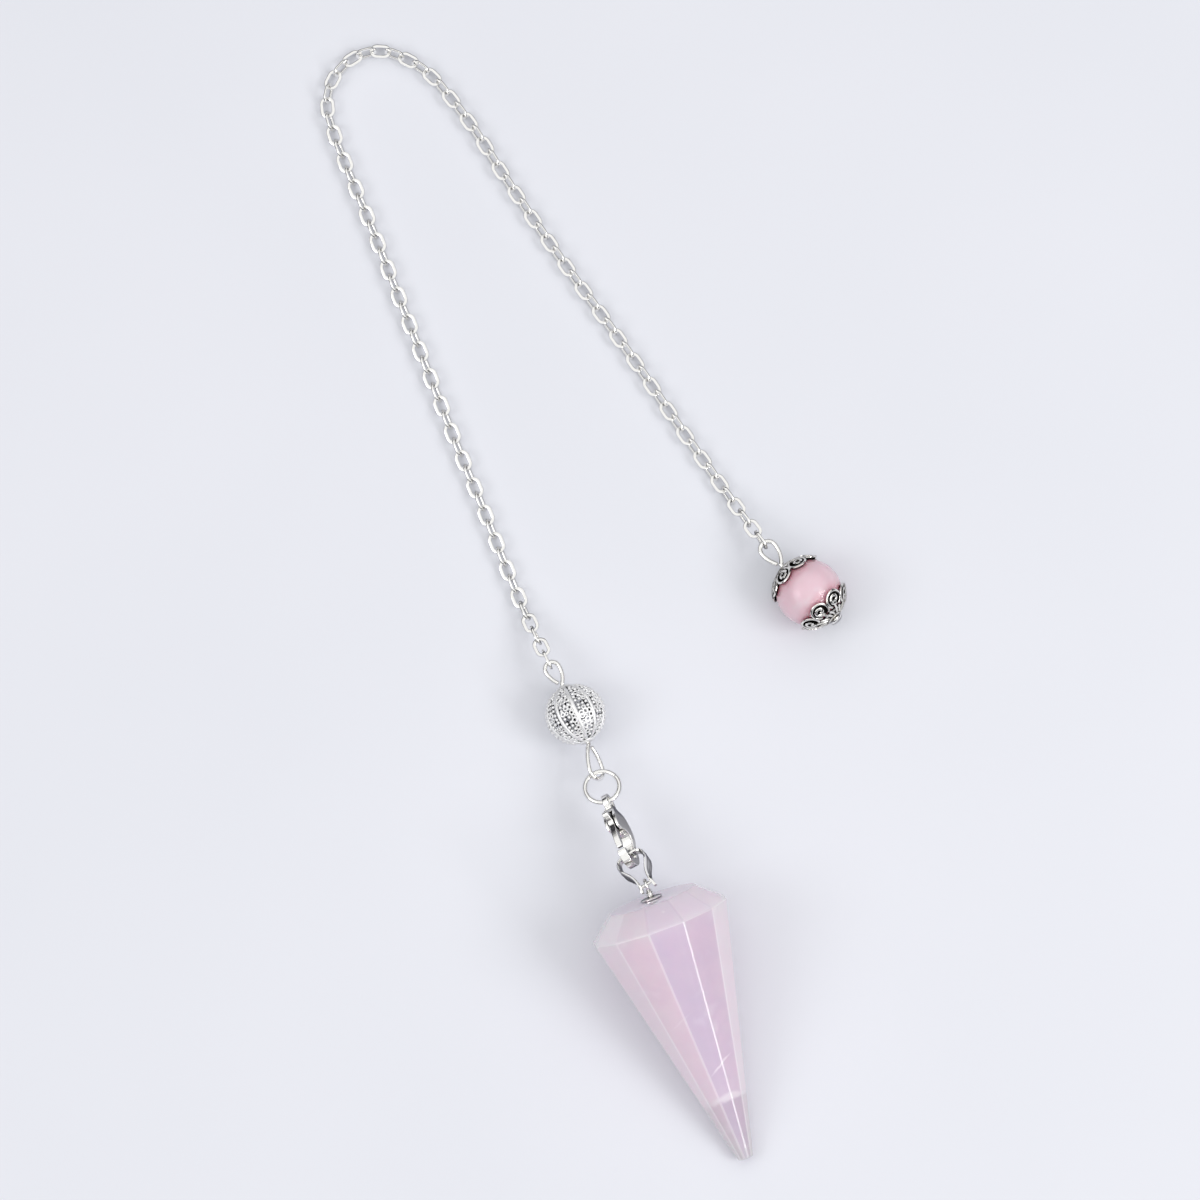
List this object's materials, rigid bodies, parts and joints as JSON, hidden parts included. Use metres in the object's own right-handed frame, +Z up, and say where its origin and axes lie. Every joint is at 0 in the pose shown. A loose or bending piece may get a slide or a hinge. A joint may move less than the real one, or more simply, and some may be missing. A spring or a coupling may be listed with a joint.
{
  "type": "pendulum pendant",
  "caption": "Dowsing pendulum lying flat: a faceted rose quartz point on a bail and lobster clasp, a pierced silver bead, a cable chain and a capped rose quartz bead at the free end.",
  "frame": {"origin": "middle of the whole layout's box, on the surface that the pendulum lies on", "axes": "+X to the right and +Y up the page as the picture shows it, +Z up from the surface; the stone points towards -Y"},
  "size_m": [0.0803, 0.1716, 0.0201],
  "materials": {
    "rose_quartz": "polished",
    "bead_quartz": "polished",
    "silver": "polished silver plate",
    "antique_silver": "oxidised silver plate"
  },
  "bodies": {
    "pendulum": {"stone": "rose_quartz", "peg_cap": "silver", "bail": "silver", "clasp_body": "silver", "jump_ring": "silver", "bead_pin": "silver", "filigree_bead": "silver", "chain_long": "silver", "chain_short": "silver", "end_pin": "silver", "round_bead": "bead_quartz", "bead_cap_top": "antique_silver", "bead_cap_bottom": "antique_silver"},
    "lever": {"clasp_lever": "silver"}
  },
  "joints": [
    {"name": "lever_pivot", "type": "hinge", "parent": "pendulum", "child": "lever", "pos_m": [0.0052, -0.03605, 0.00884], "axis": [0.8443, 0.4277, 0.3228], "range_deg": [0, 20], "stiffness_Nm_per_rad": 0.01, "springref_deg": -20.05}
  ]
}
